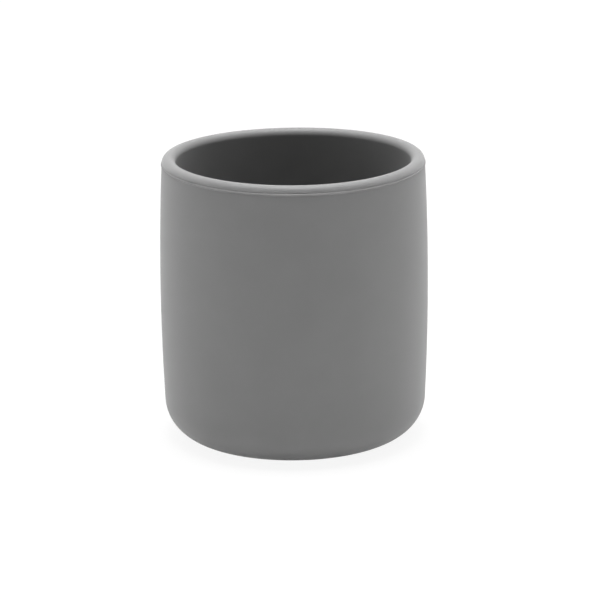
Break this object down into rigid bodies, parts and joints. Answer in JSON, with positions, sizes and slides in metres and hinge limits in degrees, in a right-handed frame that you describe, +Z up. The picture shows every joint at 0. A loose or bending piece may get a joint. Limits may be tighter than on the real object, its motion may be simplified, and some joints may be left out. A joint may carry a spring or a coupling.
{
  "type": "silicone cup",
  "caption": "Soft silicone drinking cup with a barrelled wall, a thick round lip, a fine seam under the lip and a rounded base on a flat foot ring.",
  "frame": {"origin": "centre of the base, on the plane that the cup stands on", "axes": "+Z up along the cup's axis; the cup is round about it"},
  "size_m": [0.075, 0.075, 0.08],
  "materials": {
    "liner_silicone": "matte grey moulded silicone",
    "sleeve_silicone": "matte grey moulded silicone",
    "bond_silicone": "smooth grey bonding silicone"
  },
  "bodies": {
    "root": {"inner_liner": "liner_silicone", "outer_sleeve": "sleeve_silicone", "seam_bead": "bond_silicone"}
  },
  "joints": []
}
